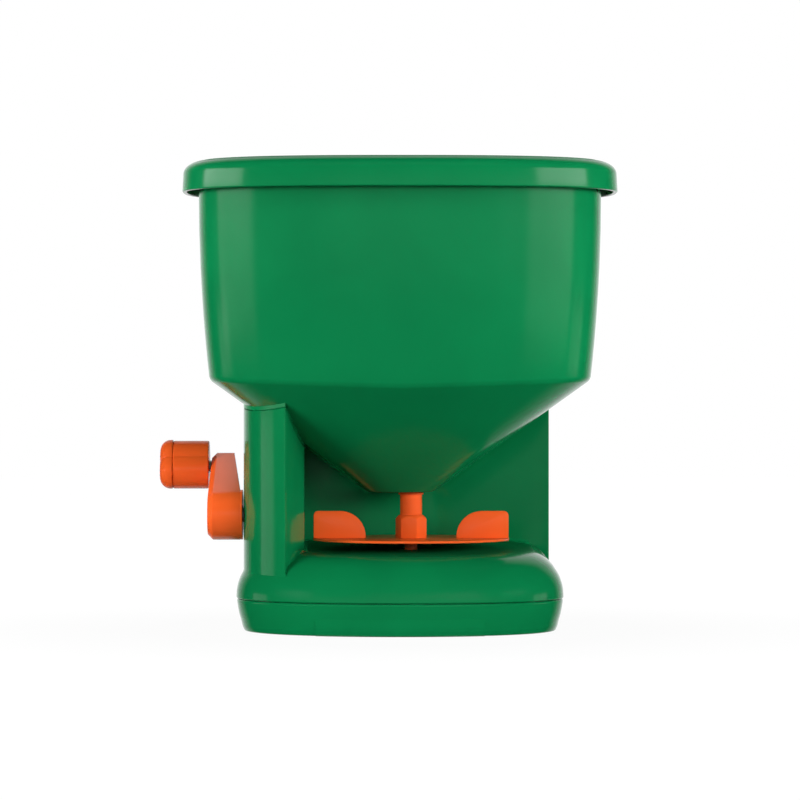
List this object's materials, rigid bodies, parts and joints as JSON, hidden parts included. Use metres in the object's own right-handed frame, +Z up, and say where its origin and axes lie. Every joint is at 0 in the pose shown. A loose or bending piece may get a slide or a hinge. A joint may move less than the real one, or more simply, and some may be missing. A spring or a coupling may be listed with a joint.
{
  "type": "hand crank spreader",
  "caption": "Hand-held broadcast spreader: a tapered hopper over a gear tower, a side crank that spins a bladed impeller disc, a sliding flow gate and a rear loop handle.",
  "frame": {"origin": "centre of the base's flat bottom face, midway between its sides and on the spindle's cross line", "axes": "+X to the right as seen from the open front, +Y to the back where the handle is, +Z up"},
  "size_m": [0.2388, 0.2045, 0.2412],
  "materials": {
    "green_plastic": "smooth moulded gloss",
    "orange_plastic": "smooth moulded gloss",
    "steel": "zinc plated",
    "nylon": "natural moulded",
    "bronze": "sintered"
  },
  "bodies": {
    "housing": {"hopper": "green_plastic", "body_shell": "green_plastic", "base_pan": "green_plastic", "handle_left_shell": "green_plastic", "handle_right_shell": "green_plastic", "crank_outer_bush": "bronze", "crank_inner_bush": "bronze", "layshaft_left_bush": "bronze", "layshaft_right_bush": "bronze", "spindle_foot_bush": "bronze", "spindle_deck_bush": "nylon", "spindle_floor_bush": "nylon", "hopper_screws": "steel", "base_screws": "steel", "handle_screws": "steel", "grip_screws": "steel"},
    "crank": {"crank_arm": "orange_plastic", "crank_shaft": "steel", "drive_gear": "nylon", "crank_screw": "steel", "crank_clip": "steel", "knob_pin": "steel"},
    "knob": {"crank_knob": "orange_plastic", "knob_cap": "orange_plastic"},
    "layshaft_set": {"layshaft": "steel", "layshaft_pinion": "nylon", "layshaft_bevel": "nylon", "layshaft_clip": "steel"},
    "impeller": {"impeller_disc": "orange_plastic", "impeller_spindle": "orange_plastic", "spindle_bevel": "nylon", "agitator": "orange_plastic", "agitator_pin": "steel"},
    "gate": {"flow_gate": "orange_plastic", "rate_tab": "orange_plastic"}
  },
  "joints": [
    {"name": "crank_turn", "type": "hinge", "parent": "housing", "child": "crank", "pos_m": [-0.0807, 0, 0.0595], "axis": [1, 0, 0], "continuous": true},
    {"name": "layshaft_turn", "type": "hinge", "parent": "housing", "child": "layshaft_set", "pos_m": [-0.05, 0, 0.0195], "axis": [1, 0, 0], "continuous": true},
    {"name": "impeller_turn", "type": "hinge", "parent": "housing", "child": "impeller", "pos_m": [0.0057, 0, 0.0475], "axis": [0, 0, 1], "continuous": true},
    {"name": "knob_spin", "type": "hinge", "parent": "crank", "child": "knob", "pos_m": [-0.1006, 0.04574, 0.08382], "axis": [1, 0, 0], "continuous": true},
    {"name": "gate_slide", "type": "slide", "parent": "housing", "child": "gate", "axis": [0, 1, 0], "range_m": [0, 0.016]}
  ],
  "couplings": [
    {"joint": "layshaft_turn", "follows": "crank_turn", "ratio": -3.5714},
    {"joint": "impeller_turn", "follows": "crank_turn", "ratio": -5.3571}
  ]
}
